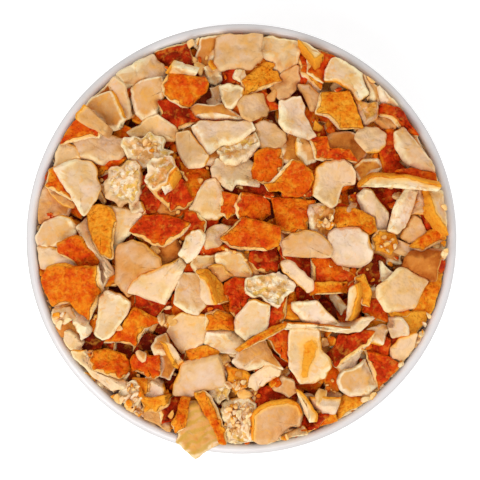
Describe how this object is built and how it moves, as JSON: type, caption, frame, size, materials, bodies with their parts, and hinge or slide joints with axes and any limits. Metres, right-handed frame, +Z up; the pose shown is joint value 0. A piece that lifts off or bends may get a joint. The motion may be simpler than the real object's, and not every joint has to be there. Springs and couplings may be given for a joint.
{
  "type": "bowl of dried orange peel",
  "caption": "Small round glazed bowl on a foot ring, heaped above its rim with cut, dried chips of orange peel.",
  "frame": {"origin": "under the middle of the bowl's foot, on the surface that it stands on", "axes": "+Z up through the middle of the bowl; +Y away from the side where one chip lies out over the rim; +X to the right of that"},
  "size_m": [0.11, 0.1106, 0.0582],
  "materials": {
    "white_glaze": "smooth white glaze",
    "dried_peel": "dry and matt: cream to tan pith, with orange to brown-red pored skin on the other side of each chip"
  },
  "bodies": {
    "root": {"bowl": "white_glaze", "peel_heap": "dried_peel"}
  },
  "joints": []
}
